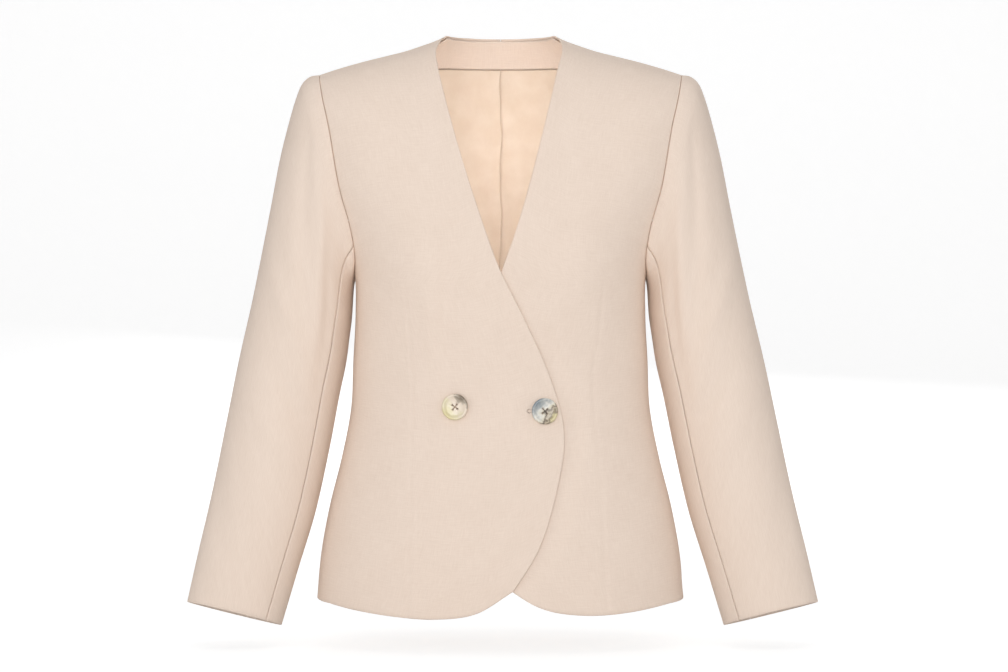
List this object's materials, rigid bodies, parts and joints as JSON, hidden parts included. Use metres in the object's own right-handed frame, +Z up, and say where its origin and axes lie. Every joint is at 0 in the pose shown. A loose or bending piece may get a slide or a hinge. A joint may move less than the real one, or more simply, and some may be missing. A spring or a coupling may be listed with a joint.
{
  "type": "double-breasted jacket",
  "caption": "Collarless double-breasted jacket with a V neck, a rounded cutaway front hem and long two-piece sleeves, hollow and filled out as worn.",
  "frame": {"origin": "midway between the shoulders, on the line where the wearer's shoulders carry the jacket", "axes": "+X towards the jacket's left sleeve, -Y the way the jacket faces, +Z up"},
  "size_m": [0.686, 0.2383, 0.6493],
  "materials": {
    "shell": "matt fine plain weave, pale blush beige",
    "lining": "soft satin lining, warm cream beige",
    "horn": "mottled brown, grey and cream horn look, satin gloss",
    "pale_horn": "pale mottled cream and brown horn look, satin gloss"
  },
  "bodies": {
    "root": {"right_front": "shell", "left_front": "shell", "back_right": "shell", "back_left": "shell", "right_top_sleeve": "shell", "right_under_sleeve": "shell", "left_top_sleeve": "shell", "left_under_sleeve": "shell", "back_neck_facing": "shell", "back_lining_right": "lining", "back_lining_left": "lining", "button_fastening": "horn", "button_decorative": "pale_horn"}
  },
  "joints": []
}
